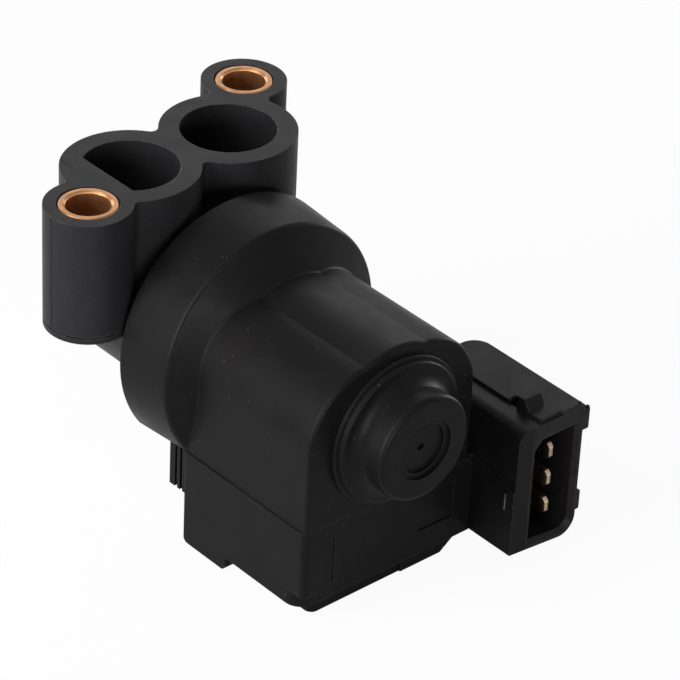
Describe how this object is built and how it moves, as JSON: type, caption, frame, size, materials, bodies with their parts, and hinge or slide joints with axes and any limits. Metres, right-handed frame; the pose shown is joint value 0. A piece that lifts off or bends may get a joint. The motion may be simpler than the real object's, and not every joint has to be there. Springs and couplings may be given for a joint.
{
  "type": "idle air control valve",
  "caption": "Rotary idle air control valve: port housing with a round and a D-shaped port and brass-sleeved bolt bosses, black motor body, side plug socket with flat terminals.",
  "frame": {"origin": "midway between the two bolt holes, on the port face", "axes": "+Z out of the port face, -Y along the motor axis toward the cap, +X toward the plug socket"},
  "size_m": [0.0606, 0.0758, 0.0531],
  "materials": {
    "port_plastic": "bluish dark grey moulded plastic, fine satin",
    "motor_plastic": "black moulded plastic, fine satin",
    "sleeve_brass": "turned brass",
    "terminal_brass": "stamped brass",
    "plug_aluminium": "pressed",
    "seal_rubber": "matte",
    "laminated_steel": "laminated",
    "bobbin_plastic": "natural moulded plastic",
    "copper_winding": "enamelled copper wire",
    "bearing_steel": "ground",
    "cage_plastic": "moulded plastic",
    "hub_aluminium": "turned",
    "magnet": "sintered",
    "slide_aluminium": "cast and machined"
  },
  "bodies": {
    "housing": {"port_housing": "port_plastic", "motor_housing": "motor_plastic", "terminal_housing": "motor_plastic", "bottom_cover": "motor_plastic", "mount_sleeve_left": "sleeve_brass", "mount_sleeve_right": "sleeve_brass", "terminal_top": "terminal_brass", "terminal_middle": "terminal_brass", "terminal_bottom": "terminal_brass", "chamber_plug": "plug_aluminium", "housing_gasket": "seal_rubber", "shaft_seal": "seal_rubber", "pole_piece_left": "laminated_steel", "pole_piece_right": "laminated_steel", "yoke_bar": "laminated_steel", "coil_bobbin": "bobbin_plastic", "opening_coil": "copper_winding", "closing_coil": "copper_winding", "preload_spring": "bearing_steel", "front_bearing_outer_ring": "bearing_steel", "rear_bearing_outer_ring": "bearing_steel"},
    "rotor": {"rotor_shaft": "bearing_steel", "magnet_hub": "hub_aluminium", "rotor_magnet": "magnet", "rotary_slide": "slide_aluminium", "slide_clip": "bearing_steel", "front_bearing_inner_ring": "bearing_steel", "rear_bearing_inner_ring": "bearing_steel"},
    "front_balls": {"front_bearing_balls": "bearing_steel", "front_bearing_cage": "cage_plastic"},
    "rear_balls": {"rear_bearing_balls": "bearing_steel", "rear_bearing_cage": "cage_plastic"}
  },
  "joints": [
    {"name": "rotor_turn", "type": "hinge", "parent": "housing", "child": "rotor", "pos_m": [0, -0.01515, -0.0242], "axis": [0, 1, 0], "range_deg": [-37, 27]},
    {"name": "front_balls_turn", "type": "hinge", "parent": "housing", "child": "front_balls", "pos_m": [0, -0.05425, -0.0242], "axis": [0, 1, 0], "range_deg": [-14, 10]},
    {"name": "rear_balls_turn", "type": "hinge", "parent": "housing", "child": "rear_balls", "pos_m": [0, -0.02225, -0.0242], "axis": [0, 1, 0], "range_deg": [-14, 10]}
  ],
  "couplings": [
    {"joint": "front_balls_turn", "follows": "rotor_turn", "ratio": 0.36},
    {"joint": "rear_balls_turn", "follows": "rotor_turn", "ratio": 0.36}
  ]
}
